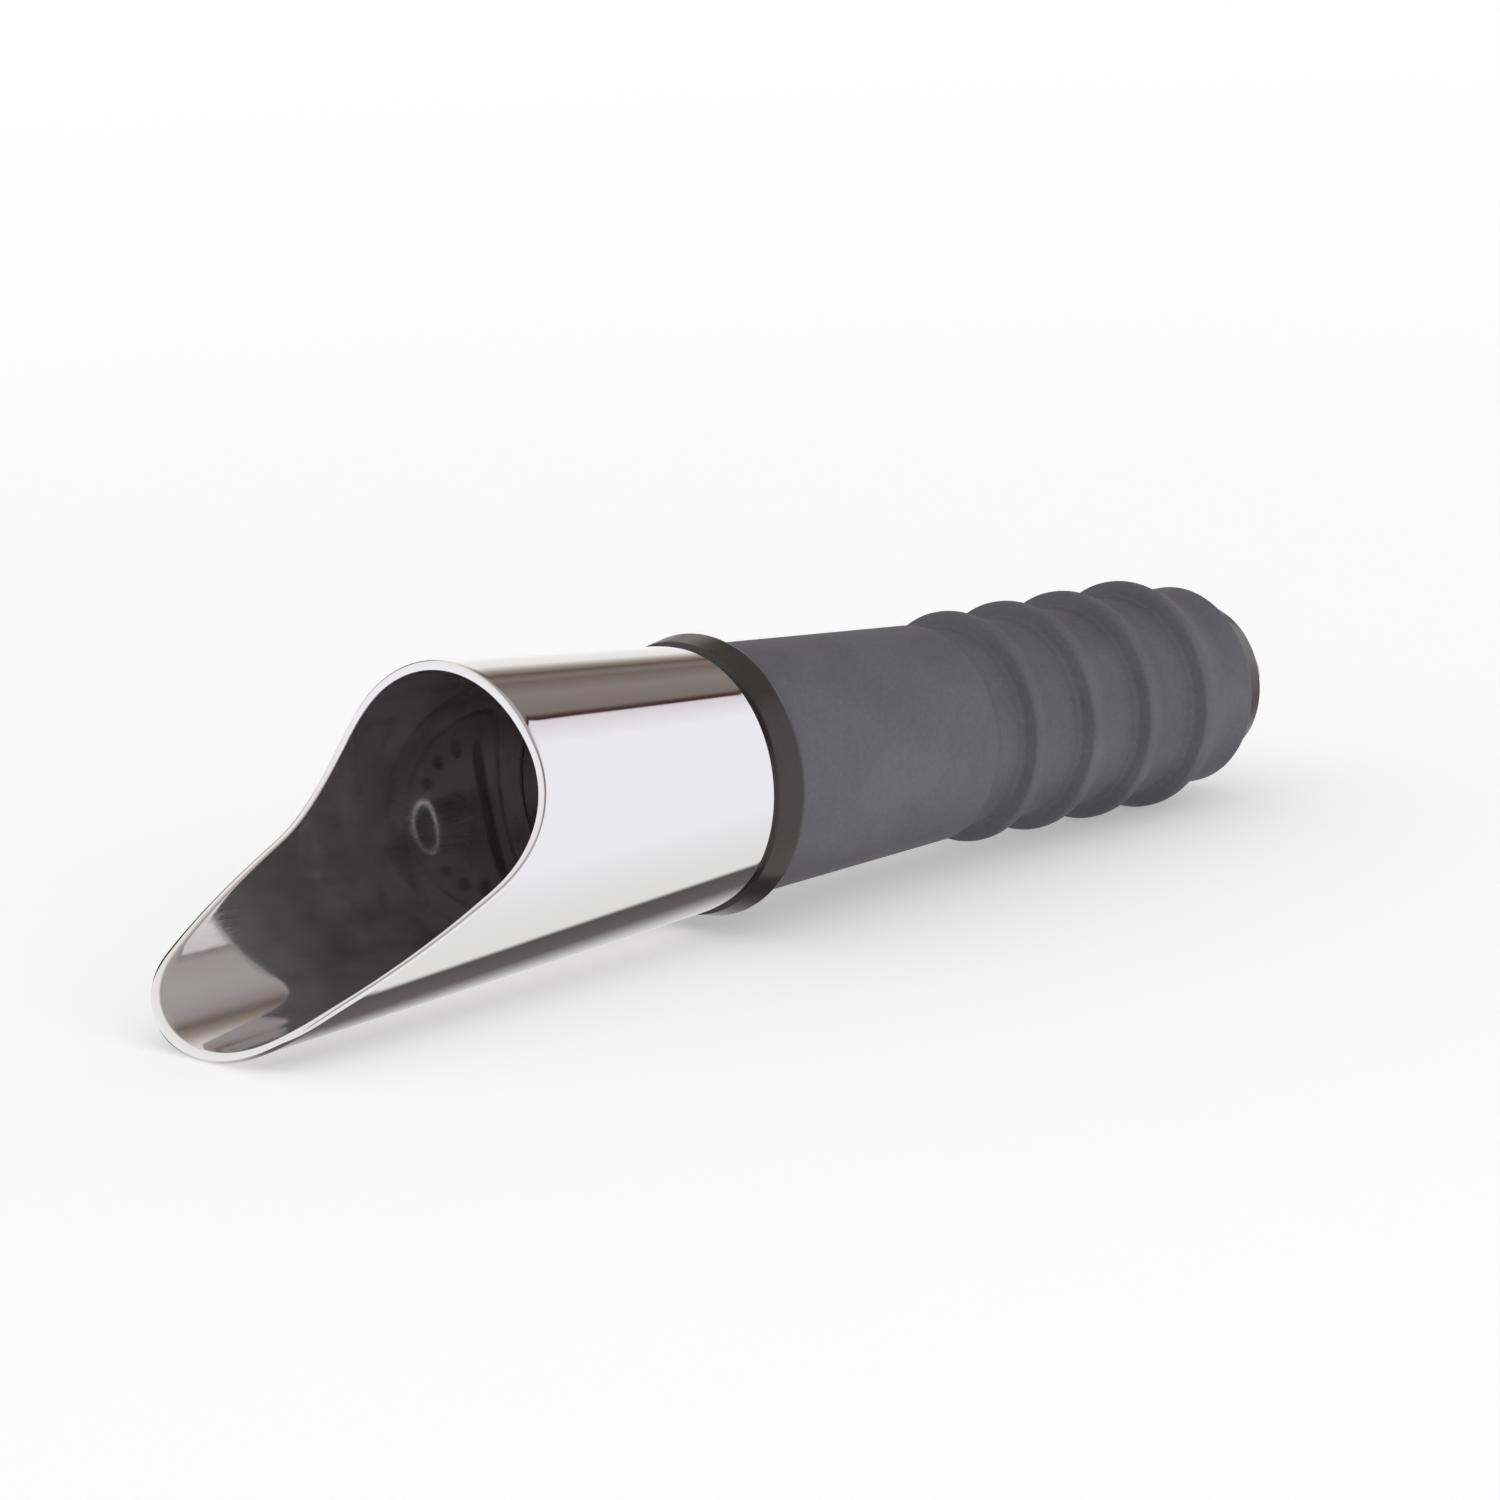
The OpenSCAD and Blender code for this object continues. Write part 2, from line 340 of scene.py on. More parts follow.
# %% Moulded plastic and silicone
def moulded(name, dark, light, grain_mm, depth_mm, rough_low, rough_high, ior):
    material, tree = new_material(name)
    place = on_axis(tree)
    clouds = add_node(
        tree,
        "ShaderNodeTexNoise",
        inputs={"Vector": place.outputs["Vector"], "Scale": 1 / (6 * MM), "Detail": 4.0},
    )
    grain = add_node(
        tree,
        "ShaderNodeTexNoise",
        inputs={"Vector": place.outputs["Vector"], "Scale": 1 / (grain_mm * MM), "Detail": 2.0},
    )
    both = add_node(
        tree,
        "ShaderNodeMath",
        {"operation": "MULTIPLY_ADD"},
        {0: grain.outputs["Fac"], 1: 0.6, 2: clouds.outputs["Fac"]},
    )
    colour = add_node(tree, "ShaderNodeValToRGB", inputs={"Fac": both.outputs["Value"]})
    colour.color_ramp.elements[0].position = 0.55
    colour.color_ramp.elements[0].color = linear(dark)
    colour.color_ramp.elements[1].position = 1.0
    colour.color_ramp.elements[1].color = linear(light)
    roughness = add_node(
        tree,
        "ShaderNodeMapRange",
        inputs={
            "Value": clouds.outputs["Fac"],
            "From Min": 0.3,
            "From Max": 0.7,
            "To Min": rough_low,
            "To Max": rough_high,
        },
    )
    bump = add_node(
        tree,
        "ShaderNodeBump",
        inputs={"Height": grain.outputs["Fac"], "Strength": 1.0, "Distance": depth_mm * MM},
    )
    shader = add_node(
        tree,
        "ShaderNodeBsdfPrincipled",
        inputs={
            "Base Color": colour.outputs["Color"],
            "Roughness": roughness.outputs["Result"],
            "IOR": ior,
            "Normal": bump.outputs["Normal"],
        },
    )
    finish(tree, shader)
    return material


# After the two tones: size and depth of the grain in mm, roughness from and to, and the IOR
BLACK_ABS = moulded("moulded_black_abs", "#272122", "#2F2829", 0.5, 0.004, 0.23, 0.3, 1.52)
GRAINED_SILICONE = moulded("grained_silicone", "#59585E", "#65646A", 0.4, 0.03, 0.6, 0.7, 1.42)
SMOOTH_SILICONE = moulded("smooth_silicone", "#222122", "#2A292A", 0.6, 0.004, 0.4, 0.48, 1.42)
BLACK_ACETAL = moulded("moulded_black_acetal", "#242223", "#2C2A2B", 0.5, 0.003, 0.26, 0.32, 1.48)
for made in (BLACK_ABS, GRAINED_SILICONE, SMOOTH_SILICONE, BLACK_ACETAL):
    print("made", made.name)

# %% [markdown]
# ## Rolled steel sheet, for the strainer
#
# The strainer is punched from rolled sheet. Rolling leaves fine straight lines all in one
# direction, across the holes. The recipe is the one for drawn steel, but the lines lie flat in
# the sheet, so it is another axis that is squeezed.

# %% Rolled stainless sheet
LINES_ACROSS_HOLES = (1.0, 0.02, 1.0)

SHEET_STEEL = drawn_stainless_steel(
    "rolled_stainless_sheet",
    "#C4C4C6",
    film=0.04,
    line_mm=0.2,
    depth_mm=0.004,
    smoothest=0.24,
    roughest=0.4,
    squeeze=LINES_ACROSS_HOLES,
)
print("made", SHEET_STEEL.name)

# %% [markdown]
# ## Turning a section into a piece
#
# Apart from the slanting mouth and three spokes, all that is made here is round, so sections
# spun round the axis make it. A section is a closed loop of straight lines. Its corners are
# rounded first, while it is still a flat wire: a bevel of one vertex makes a short arc there, and
# each corner can have a size of its own. The other way, to spin sharp corners and bevel the
# rings, does thousands of edges for the same arc.

# %% Spin a section with rounded corners
STEPS = 192
CORNER_SEGMENTS = 5
SAME_POINT = 0.0005


def section(*loops):
    """Closed wires in the XZ plane, each from its (radius, height, rounding) corners."""
    mesh = bmesh.new()
    for corners in loops:
        points = [mesh.verts.new((radius, 0, height)) for radius, height, _ in corners]
        for first, second in zip(points, points[1:] + points[:1]):
            mesh.edges.new((first, second))
        for point, (_, _, rounding) in zip(points, corners):
            if rounding:
                bmesh.ops.bevel(
                    mesh,
                    geom=[point],
                    offset=rounding,
                    offset_type="OFFSET",
                    segments=CORNER_SEGMENTS,
                    profile=0.5,
                    affect="VERTICES",
                    material=-1,
                    clamp_overlap=False,
                )
    return mesh


def spun(mesh, steps=STEPS):
    bmesh.ops.spin(
        mesh,
        geom=mesh.verts[:] + mesh.edges[:],
        axis=(0, 0, 1),
        cent=(0, 0, 0),
        angle=2 * math.pi,
        steps=steps,
        use_merge=True,
    )
    bmesh.ops.remove_doubles(mesh, verts=mesh.verts, dist=SAME_POINT)
    bmesh.ops.recalc_face_normals(mesh, faces=mesh.faces)
    return mesh


# %% [markdown]
# ## Laying a piece down
#
# A drawn piece is smooth all over, since its edges are rounded for real. Smooth shading has one
# flaw there: where a long wall meets the first small face of a round edge, their shared normal
# is the mean of both, and the whole wall looks bent. The Weighted Normal modifier lets the large
# face decide, so walls stay straight and only the round edges turn.


# %% Lay a mesh where the frame has its node
def lay_down(name, mesh, nodes, slot, *materials):
    data = bpy.data.meshes.new(name)
    mesh.to_mesh(data)
    mesh.free()
    data.transform(LYING)
    data.polygons.foreach_set("use_smooth", [True] * len(data.polygons))
    for material in materials:
        data.materials.append(material)
    piece = bpy.data.objects.new(name, data)
    bpy.context.collection.objects.link(piece)
    piece.modifiers.new("straight_walls", "WEIGHTED_NORMAL")
    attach(piece, "root")
    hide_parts(*nodes)
    print(name, "has", len(data.polygons), "faces")


# %% [markdown]
# ## The line of the cut
#
# On the real spout a flared tube is cut across in one sweep: nearly square over the short side,
# then round a hollow bend, steeply down to the lip, and over a round tip. Seen from the side
# that line is two straights and two arcs, which all touch without a corner. The corners of the
# line could be measured one by one, but only a few of its sizes are free: the arcs' centres and
# ends follow from them.

# %% The line of the cut, from its sizes
FOOT_R = 10.95
FLARE = math.radians(4.6)
LONG_SIDE = 52.0
SHORT_SIDE = 26.0
SHORT_CUT = math.radians(3)
LIP_CUT = math.radians(62.5)
TIP_CUT = math.radians(30)
MOUTH_BEND = 12.0
LIP_ROUND = 15.0
CUT_PASSES = 24


def spout_r(height):
    return FOOT_R + height * math.tan(FLARE)


def way(angle):
    return Vector((math.cos(angle), math.sin(angle)))


def left_of(direction):
    return Vector((-direction.y, direction.x))


BACK_POINT = Vector((-spout_r(SHORT_SIDE), SHORT_SIDE))
ROUND_MIDDLE = Vector((spout_r(LONG_SIDE), LONG_SIDE)) - LIP_ROUND * left_of(way(TIP_CUT))
LIP_START = ROUND_MIDDLE + LIP_ROUND * left_of(way(LIP_CUT))
short_run = (LIP_START - BACK_POINT).cross(way(LIP_CUT)) / way(SHORT_CUT).cross(way(LIP_CUT))
CORNER = BACK_POINT + short_run * way(SHORT_CUT)
TANGENT = MOUTH_BEND * math.tan((LIP_CUT - SHORT_CUT) / 2)
BEND_START = CORNER - TANGENT * way(SHORT_CUT)
BEND_END = CORNER + TANGENT * way(LIP_CUT)
BEND_CENTRE = BEND_START + MOUTH_BEND * left_of(way(SHORT_CUT))


def cut_height(across):
    """Height of the cut at a place across the spout, from the short side to the lip."""
    if across < BEND_START.x:
        return BACK_POINT.y + (across - BACK_POINT.x) * math.tan(SHORT_CUT)
    if across < BEND_END.x:
        return BEND_CENTRE.y - math.sqrt(MOUTH_BEND ** 2 - (across - BEND_CENTRE.x) ** 2)
    if across < LIP_START.x:
        return LIP_START.y + (across - LIP_START.x) * math.tan(LIP_CUT)
    return ROUND_MIDDLE.y + math.sqrt(LIP_ROUND ** 2 - (across - ROUND_MIDDLE.x) ** 2)


def rim_height(angle, inset):
    """Height where a straight line of the wall meets the cut, found by going back and forth."""
    height = SHORT_SIDE
    for _ in range(CUT_PASSES):
        height = cut_height((spout_r(height) - inset) * math.cos(angle))
    return height


print("the mouth runs from", round(rim_height(math.pi, 0), 2), "to", round(rim_height(0, 0), 2), "mm")

# %% [markdown]
# ## The spout
#
# A boolean would cut the mouth too, but it leaves long thin faces whose shading shows in a
# mirror finish. So the wall is spun as a plain ring of evenly spaced rows, and then every row is
# slid along the straight lines of the flare until the last one follows the cut. The outside and
# the inside of the wall are slid each for itself, so the rim between them has the true width of
# a cut right through. The rim's edges are then rolled over, as polishing leaves them: the wheel
# reaches the outer edge best, and takes less off the inner one.

# %% Slide the rows of the flared wall to the cut
SPOUT_STEPS = 288
SPOUT_ROWS = 28
EDGE_ROW = 0.8
SPOUT_WALL = 0.8
WALL_ACROSS = SPOUT_WALL / math.cos(FLARE)
OUTER_ROUNDING = 0.3
INNER_ROUNDING = 0.12
ROLL_SEGMENTS = 4
FOOT_ROUNDING = 0.06
OUTSIDE = 2
INSIDE = 1
SAME_ROW = 0.1


def on_inside(vert):
    return vert.co.xy.length < (OUTSIDE + INSIDE) / 2


def row_height(row, rim):
    if row == 0:
        return 0
    if row == SPOUT_ROWS:
        return rim
    return EDGE_ROW + (rim - 2 * EDGE_ROW) * (row - 1) / (SPOUT_ROWS - 2)


def ring_edges(mesh, row):
    """Edges that run round the wall in one row, before the rows are slid."""
    edges = []
    for edge in mesh.edges:
        one, other = edge.verts
        level_with_row = abs(one.co.z - row) < SAME_ROW and abs(other.co.z - row) < SAME_ROW
        if level_with_row and on_inside(one) == on_inside(other):
            edges.append(edge)
    return edges


def roll_edges(mesh, edges, rounding):
    bmesh.ops.bevel(
        mesh,
        geom=edges,
        offset=rounding,
        offset_type="OFFSET",
        segments=ROLL_SEGMENTS,
        profile=0.5,
        affect="EDGES",
        material=-1,
        clamp_overlap=False,
    )


def spout():
    rows = range(SPOUT_ROWS + 1)
    outside = [(OUTSIDE, row, 0) for row in rows]
    inside = [(INSIDE, row, 0) for row in reversed(rows)]
    mesh = spun(section(outside + inside), SPOUT_STEPS)
    for face in mesh.faces:
        face.material_index = int(all(on_inside(vert) for vert in face.verts))
    rim = ring_edges(mesh, SPOUT_ROWS)
    inner_rim = [edge for edge in rim if on_inside(edge.verts[0])]
    outer_rim = [edge for edge in rim if not on_inside(edge.verts[0])]
    foot = ring_edges(mesh, 0)
    for vert in mesh.verts:
        angle = math.atan2(vert.co.y, vert.co.x)
        inset = WALL_ACROSS if on_inside(vert) else 0
        height = row_height(round(vert.co.z), rim_height(angle, inset))
        radius = spout_r(height) - inset
        vert.co = (radius * math.cos(angle), radius * math.sin(angle), height)
    roll_edges(mesh, outer_rim, OUTER_ROUNDING)
    roll_edges(mesh, inner_rim, INNER_ROUNDING)
    roll_edges(mesh, foot, FOOT_ROUNDING)
    bmesh.ops.recalc_face_normals(mesh, faces=mesh.faces)
    lay_down("polished_spout", mesh, ["spout"], "polished_steel", POLISHED_STEEL, BORE_STEEL)


spout()

# %% [markdown]
# ## The core and its flange
#
# The core is one moulding. Its flange shows as the thin dark line between steel and stopper: it
# swells from the foot of the spout to its widest ring near the back, and turns in over a round
# edge. Above it the neck holds the spout, with a groove for the seal, and below it a tube runs
# through the stopper to a barb. The swell touches the round edge without a corner, and where it
# does follows from the triangle between the edge's centre and the front of the flange.

# %% Section of the core
FLANGE_FRONT_R = 11.25
FLANGE_R = 11.65
FLANGE_ROUND = 0.55
FLANGE_DEPTH = 2.8
CORE_R = 6.9
CHANNEL_R = 5.4
NECK_HEIGHT = 8.0
CHAMBER_FLOOR = 1.0
CHAMBER_R = 7.62
GROOVE_R = 8.62
GROOVE_HALF = 1.05
STOPPER_END = -60.2
BARB_R = 7.7
BARB_LENGTH = 3.0
SOFT_EDGE = 0.3
CORE_END = STOPPER_END - BARB_LENGTH
PUSH_FIT = 0.05
ARC_POINTS = 10


def neck_r(height):
    return spout_r(height) - WALL_ACROSS - PUSH_FIT


def flange_edge():
    """Points of the flange's round edge, from where the swell touches it to the back face."""
    centre = Vector((FLANGE_R - FLANGE_ROUND, FLANGE_ROUND - FLANGE_DEPTH))
    swell = Vector((FLANGE_FRONT_R, 0)) - centre
    first = math.atan2(swell.y, swell.x) - math.acos(FLANGE_ROUND / swell.length)
    last = math.radians(-90)
    points = []
    for i in range(ARC_POINTS + 1):
        point = centre + FLANGE_ROUND * way(first + (last - first) * i / ARC_POINTS)
        points.append((point.x, point.y, 0))
    return points


def core_corners():
    return [
        (CHAMBER_R, NECK_HEIGHT, 0.25),
        (neck_r(NECK_HEIGHT), NECK_HEIGHT, 0.3),
        (neck_r(SEAL_HEIGHT + GROOVE_HALF), SEAL_HEIGHT + GROOVE_HALF, 0),
        (GROOVE_R, SEAL_HEIGHT + GROOVE_HALF, 0.2),
        (GROOVE_R, SEAL_HEIGHT - GROOVE_HALF, 0.2),
        (neck_r(SEAL_HEIGHT - GROOVE_HALF), SEAL_HEIGHT - GROOVE_HALF, 0),
        (neck_r(0), 0, 0),
        (FLANGE_FRONT_R, 0, 0.08),
        *flange_edge(),
        (CORE_R, -FLANGE_DEPTH, 0),
        (CORE_R, STOPPER_END, 0),
        (BARB_R, STOPPER_END, 0.25),
        (CORE_R - SOFT_EDGE, CORE_END, SOFT_EDGE),
        (CHANNEL_R, CORE_END, SOFT_EDGE),
        (CHANNEL_R, CHAMBER_FLOOR, 0.2),
        (CHAMBER_R, CHAMBER_FLOOR, 0.2),
    ]


# %% [markdown]
# Past the end of the stopper a small ring on three spokes carries the air tube. The ring is one
# more loop in the section, so it is spun with the rest. Each spoke starts as a cube that is
# stretched to reach a little into the ring and into the wall, and its edges are rounded.

# %% The core, with the ring and the spokes that hold the air tube
HOLDER_R = 2.05
HOLDER_OUTER_R = 3.25
HOLDER_ROUNDING = 0.2
SPOKE_COUNT = 3
SPOKE_WIDTH = 1.2
SPOKE_SINK = 0.4


def add_spoke(mesh, turn):
    start = HOLDER_OUTER_R - SPOKE_SINK
    end = CHANNEL_R + SPOKE_SINK
    size = Matrix.Diagonal((end - start, SPOKE_WIDTH, BARB_LENGTH - 2 * HOLDER_ROUNDING, 1))
    place = Matrix.Translation(((start + end) / 2, 0, CORE_END + BARB_LENGTH / 2))
    made = bmesh.ops.create_cube(mesh, size=1, matrix=Matrix.Rotation(turn, 4, "Z") @ place @ size)
    edges = {edge for vert in made["verts"] for edge in vert.link_edges}
    roll_edges(mesh, list(edges), HOLDER_ROUNDING)


def core():
    holder_top = CORE_END + BARB_LENGTH
    holder = [
        (HOLDER_OUTER_R, CORE_END, HOLDER_ROUNDING),
        (HOLDER_OUTER_R, holder_top, HOLDER_ROUNDING),
        (HOLDER_R, holder_top, HOLDER_ROUNDING),
        (HOLDER_R, CORE_END, HOLDER_ROUNDING),
    ]
    mesh = spun(section(core_corners(), holder))
    for spoke in range(SPOKE_COUNT):
        add_spoke(mesh, 2 * math.pi * spoke / SPOKE_COUNT)
    bmesh.ops.recalc_face_normals(mesh, faces=mesh.faces)
    lay_down("flanged_core", mesh, ["core"], "black_plastic", BLACK_ABS)


core()

# %% [markdown]
# ## The ribbed stopper
#
# The stopper is a silicone sleeve on the core. Its tapered collar stays in sight, and the ribs
# below it are a little wider than the mouth that they plug, and bend to seal it. Each rib is the
# same few corners moved along the axis, so a loop writes them. Soft silicone leaves the mould
# with no sharp edge anywhere, so the crests and the roots of the ribs are both rounded.

# %% Section of the stopper
COLLAR_R = 10.6
COLLAR_END = -27.8
COLLAR_END_R = 9.16
PLUG_R = 8.5
RIB_R = 9.8
RIB_COUNT = 4
RIB_PITCH = 7.0
RIB_CREST = 0.8
RIB_LEAD = 2.6
PLUG_MARGIN = 4.0


def rib_corners(top):
    back_face = top + RIB_CREST / 2
    lead_end = top - RIB_CREST - RIB_LEAD
    return [
        (PLUG_R, back_face, 0.35),
        (RIB_R, top, 0.22),
        (RIB_R, top - RIB_CREST, 0.3),
        (PLUG_R, lead_end, 0.8),
    ]


def stopper():
    first_rib = COLLAR_END - PLUG_MARGIN
    corners = [
        (COLLAR_R, -FLANGE_DEPTH, 0.25),
        (COLLAR_END_R, COLLAR_END, 0.5),
        (PLUG_R, COLLAR_END - (COLLAR_END_R - PLUG_R), 0.5),
    ]
    for rib in range(RIB_COUNT):
        corners += rib_corners(first_rib - rib * RIB_PITCH)
    corners += [
        (PLUG_R, STOPPER_END, 0.5),
        (CORE_R + PUSH_FIT, STOPPER_END, 0.2),
        (CORE_R + PUSH_FIT, -FLANGE_DEPTH, 0),
    ]
    mesh = spun(section(corners))
    lay_down("ribbed_stopper", mesh, ["stopper"], "dark_silicone", GRAINED_SILICONE)


stopper()

# %% [markdown]
# ## The pieces that keep their own mesh
#
# The seal, the aerator, the strainer and the air tube are already the right shape in the frame,
# so they stay, and only get a finish.

# %% Finishes for the inner pieces
INNER_FINISHES = {
    "spout_seal": SMOOTH_SILICONE,
    "aerator": BLACK_ACETAL,
    "strainer": SHEET_STEEL,
    "air_tube": TUBE_STEEL,
}
for node, material in INNER_FINISHES.items():
    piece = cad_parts[node]
    piece.data.materials.clear()
    piece.data.materials.append(material)
    print(node, "is", material.name)

# %% [markdown]
# ## Floor, sky and lamp
#
# Polished steel shows its surroundings, so they are part of the finish. What stood round the
# real pourer isn't known, but the photograph shows bright steel with a dark band near the top
# and another near the bottom. White walls, a dark panel high above and a dark strip underneath
# give such bands; the strip is painted shadow, standing in for the pourer's own shadow on the
# floor. Cards could stand in for them, but they would get in the way of other views. So the sky
# itself is dark where the panel hangs, and the floor is painted dark under the pourer, and both
# are so only for mirrored light. To the eye the floor is pale near the pourer, where it takes the
# shadow, and turns to the white of the background further out, so no horizon shows.

# %% Floor
FLOOR_R = 3.0
NEAR_FLOOR = 0.12
FAR_FLOOR = 0.55
# A little light from the floor itself keeps the shadow pale
FLOOR_GLOW = 0.27
MIRRORED_SHADOW_REACH = 30.0
# Painted shadow, seen only in mirrored light: millimetres from the middle of the strip under the
# pourer, and the colour there
MIRRORED_SHADOW_COLOURS = [
    (0.0, "#E8E4E4"),
    (3.4, "#C9C4C4"),
    (6.5, "#6C6466"),
    (9.7, "#5F5658"),
    (10.4, "#F0EFEB"),
    (MIRRORED_SHADOW_REACH, "#FFFEFF"),
]


def add_ramp(tree, value, reach, colours):
    """A colour for each place between 0 and reach, straight from one entry of the list to the next."""
    share = add_node(tree, "ShaderNodeMapRange", inputs={"Value": value, "From Max": reach})
    ramp = add_node(tree, "ShaderNodeValToRGB", inputs={"Fac": share.outputs["Result"]})
    stops = ramp.color_ramp.elements
    last = colours[-1][0]
    stops[0].position = colours[0][0] / last
    stops[0].color = linear(colours[0][1])
    stops[1].position = 1.0
    stops[1].color = linear(colours[-1][1])
    for place, code in colours[1:-1]:
        stops.new(place / last).color = linear(code)
    return ramp


floor_mesh = bmesh.new()
bmesh.ops.create_circle(floor_mesh, cap_ends=True, segments=96, radius=FLOOR_R)
floor_data = bpy.data.meshes.new("floor")
floor_mesh.to_mesh(floor_data)
floor_mesh.free()
floor = bpy.data.objects.new("floor", floor_data)
bpy.context.collection.objects.link(floor)

floor_material, tree = new_material("pale_studio_floor")
rays = add_node(tree, "ShaderNodeLightPath")
place = add_node(tree, "ShaderNodeTexCoord")
distance = add_node(tree, "ShaderNodeVectorMath", {"operation": "LENGTH"}, {0: place.outputs["Object"]})
far = add_node(
    tree,
    "ShaderNodeMapRange",
    {"interpolation_type": "SMOOTHSTEP"},
    {"Value": distance.outputs["Value"], "From Min": NEAR_FLOOR, "From Max": FAR_FLOOR},
)
near_shader = add_node(
    tree,
    "ShaderNodeBsdfPrincipled",
    inputs={
        "Base Color": linear("#FCFCFC"),
        "Roughness": 0.9,
        "Specular IOR Level": 0.2,
        "Emission Color": linear("#FFFFFF"),
        "Emission Strength": FLOOR_GLOW,
    },
)
far_shader = add_node(tree, "ShaderNodeEmission", inputs={"Color": linear("#FFFFFF"), "Strength": 1.0})
seen_floor = add_node(
    tree,
    "ShaderNodeMixShader",
    inputs={
        0: far.outputs["Result"],
        1: near_shader.outputs["BSDF"],
        2: far_shader.outputs["Emission"],
    },
)
# For mirrored light the floor gets a painted shadow: darker in a strip under the pourer, where its own
# shadow would lie
parts = add_node(tree, "ShaderNodeSeparateXYZ", inputs={"Vector": place.outputs["Object"]})
aside = add_node(tree, "ShaderNodeMath", {"operation": "ABSOLUTE"}, {0: parts.outputs["Y"]})
mirrored_painted_shadow = add_ramp(tree, aside.outputs["Value"], MIRRORED_SHADOW_REACH * MM, MIRRORED_SHADOW_COLOURS)
mirrored_floor = add_node(
    tree,
    "ShaderNodeEmission",
    inputs={"Color": mirrored_painted_shadow.outputs["Color"], "Strength": 1.0},
)
floor_shader = add_node(
    tree,
    "ShaderNodeMixShader",
    inputs={
        0: rays.outputs["Is Glossy Ray"],
        1: seen_floor.outputs["Shader"],
        2: mirrored_floor.outputs["Emission"],
    },
)
add_node(tree, "ShaderNodeOutputMaterial", inputs={"Surface": floor_shader.outputs["Shader"]})
floor_data.materials.append(floor_material)
print("the floor is", 2 * FLOOR_R, "m across")

# %% Sky
PANEL_TURN = math.radians(29)
# Degrees across the panel, and the colour there
PANEL_COLOURS = [
    (0, "#FFFEFF"),
    (38, "#FFFEFF"),
    (52.6, "#E8E0E2"),
    (53.4, "#3E2322"),
    (55.2, "#553C39"),
    (57.5, "#857871"),
    (72, "#8F8681"),
    (86, "#786B64"),
    (91, "#877B72"),
    (99, "#6A5C53"),
    (108, "#A39688"),
    (124, "#F4F0EA"),
    (180, "#FFFEFF"),
]
# A dark patch low behind the pourer, for the thin dark line along the far side of the rim
PATCH_TURN = math.radians(-110)
PATCH_HEIGHT = math.radians(10)
PATCH_R = math.radians(21)
PATCH_CORE_R = math.radians(17)
# Where the mirrored sky turns paler towards the top, and by how much at most
PALE_START = 0.68
PALE_FULL = 0.8
PALE_SHARE = 0.3
# How bright the sky lights dull surfaces, level with them and from straight above
LEVEL_LIGHT = 1.05
OVERHEAD_LIGHT = 0.5
# A Mix node has three sets of sockets, and these are the ones for colours
FIRST_COLOUR = 6
SECOND_COLOUR = 7
MIXED_COLOUR = 2

world = bpy.data.worlds.new("studio")
world.use_nodes = True
bpy.context.scene.world = world
tree = world.node_tree
tree.nodes.clear()
rays = add_node(tree, "ShaderNodeLightPath")
direction = add_node(tree, "ShaderNodeTexCoord")
turned = add_node(
    tree,
    "ShaderNodeMapping",
    inputs={"Vector": direction.outputs["Generated"], "Rotation": (0, 0, -PANEL_TURN)},
)
parts = add_node(tree, "ShaderNodeSeparateXYZ", inputs={"Vector": turned.outputs["Vector"]})
# Angle across the panel: 0 is level on the camera's side, a quarter turn is straight up
rise = add_node(
    tree,
    "ShaderNodeMath",
    {"operation": "ARCTAN2"},
    {0: parts.outputs["Z"], 1: parts.outputs["Y"]},
)
panel = add_ramp(tree, rise.outputs["Value"], math.radians(180), PANEL_COLOURS)
high_up = add_node(
    tree,
    "ShaderNodeMapRange",
    {"interpolation_type": "SMOOTHSTEP"},
    {
        "Value": parts.outputs["Z"],
        "From Min": PALE_START,
        "From Max": PALE_FULL,
        "To Max": PALE_SHARE,
    },
)
mirrored_sky = add_node(
    tree,
    "ShaderNodeMix",
    {"data_type": "RGBA"},
    {
        "Factor": high_up.outputs["Result"],
        FIRST_COLOUR: panel.outputs["Color"],
        SECOND_COLOUR: linear("#FFFEFF"),
    },
)
patch_way = (
    math.cos(PATCH_TURN) * math.cos(PATCH_HEIGHT),
    math.sin(PATCH_TURN) * math.cos(PATCH_HEIGHT),
    math.sin(PATCH_HEIGHT),
)
near_patch = add_node(
    tree,
    "ShaderNodeVectorMath",
    {"operation": "DOT_PRODUCT"},
    {0: direction.outputs["Generated"], 1: patch_way},
)
in_patch = add_node(
    tree,
    "ShaderNodeMapRange",
    {"interpolation_type": "SMOOTHSTEP"},
    {
        "Value": near_patch.outputs["Value"],
        "From Min": math.cos(PATCH_R),
        "From Max": math.cos(PATCH_CORE_R),
    },
)
patched_sky = add_node(
    tree,
    "ShaderNodeMix",
    {"data_type": "RGBA"},
    {
        "Factor": in_patch.outputs["Result"],
        FIRST_COLOUR: mirrored_sky.outputs[MIXED_COLOUR],
        SECOND_COLOUR: linear("#3C2620"),
    },
)
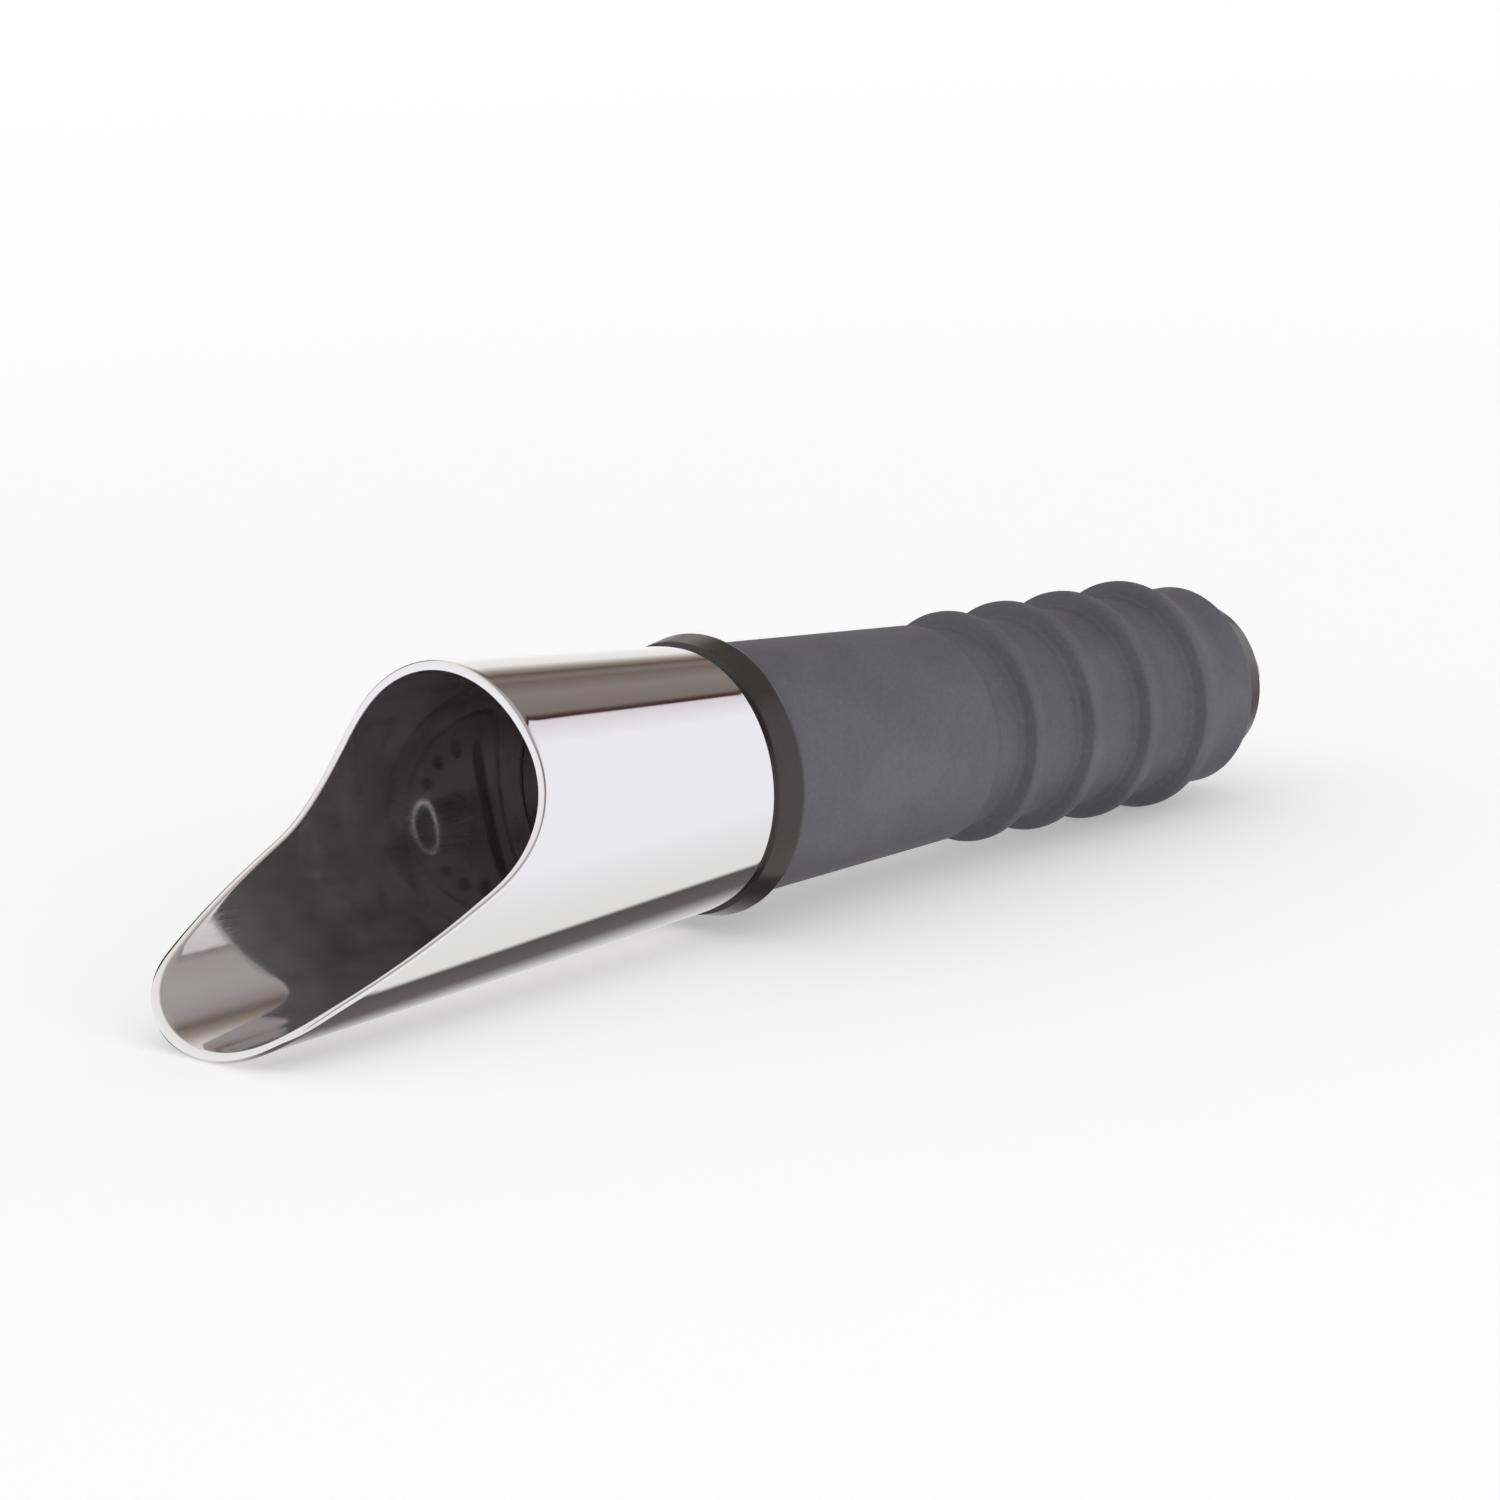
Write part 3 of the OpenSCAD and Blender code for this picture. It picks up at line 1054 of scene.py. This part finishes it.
studio = add_node(
    tree,
    "ShaderNodeBackground",
    inputs={"Color": patched_sky.outputs[MIXED_COLOUR], "Strength": 1.0},
)
from_above = add_node(
    tree,
    "ShaderNodeMapRange",
    inputs={"Value": parts.outputs["Z"], "To Min": LEVEL_LIGHT, "To Max": OVERHEAD_LIGHT},
)
lit = add_node(
    tree,
    "ShaderNodeMapRange",
    inputs={
        "Value": rays.outputs["Is Diffuse Ray"],
        "To Min": 1.0,
        "To Max": from_above.outputs["Result"],
    },
)
backdrop = add_node(
    tree,
    "ShaderNodeBackground",
    inputs={"Color": linear("#FFFFFF"), "Strength": lit.outputs["Result"]},
)
sky = add_node(
    tree,
    "ShaderNodeMixShader",
    inputs={
        0: rays.outputs["Is Glossy Ray"],
        1: backdrop.outputs["Background"],
        2: studio.outputs["Background"],
    },
)
add_node(tree, "ShaderNodeOutputWorld", inputs={"Surface": sky.outputs["Shader"]})
print("the sky is white, with a dark panel overhead and a dark patch behind")


# %% Lamp
def softbox(name, turn_deg, height_deg, distance, width, height, radiance):
    """A rectangular lamp that faces the pourer. Radiance 1 is as bright as white paper."""
    data = bpy.data.lights.new(name, "AREA")
    data.shape = "RECTANGLE"
    data.size = width
    data.size_y = height
    data.energy = radiance * math.pi * width * height
    turn = math.radians(turn_deg)
    rise = math.radians(height_deg)
    place = Vector((math.cos(turn) * math.cos(rise), math.sin(turn) * math.cos(rise), math.sin(rise)))
    lamp = bpy.data.objects.new(name, data)
    facing = place.to_track_quat("Z", "Y").to_matrix().to_4x4()
    lamp.matrix_world = Matrix.Translation(place * distance) @ facing
    # The mirror finish shows the even white of the sky, and not a hard box
    lamp.visible_glossy = False
    bpy.context.collection.objects.link(lamp)
    print(name, "gives", round(data.energy, 2), "W")


softbox("side_softbox", turn_deg=84, height_deg=14, distance=0.95, width=0.7, height=0.5, radiance=0.9)

# %% [markdown]
# ## How the picture is developed
#
# Standard keeps the colours as they are written.

# %% View and the end
bpy.context.scene.view_settings.view_transform = "Standard"
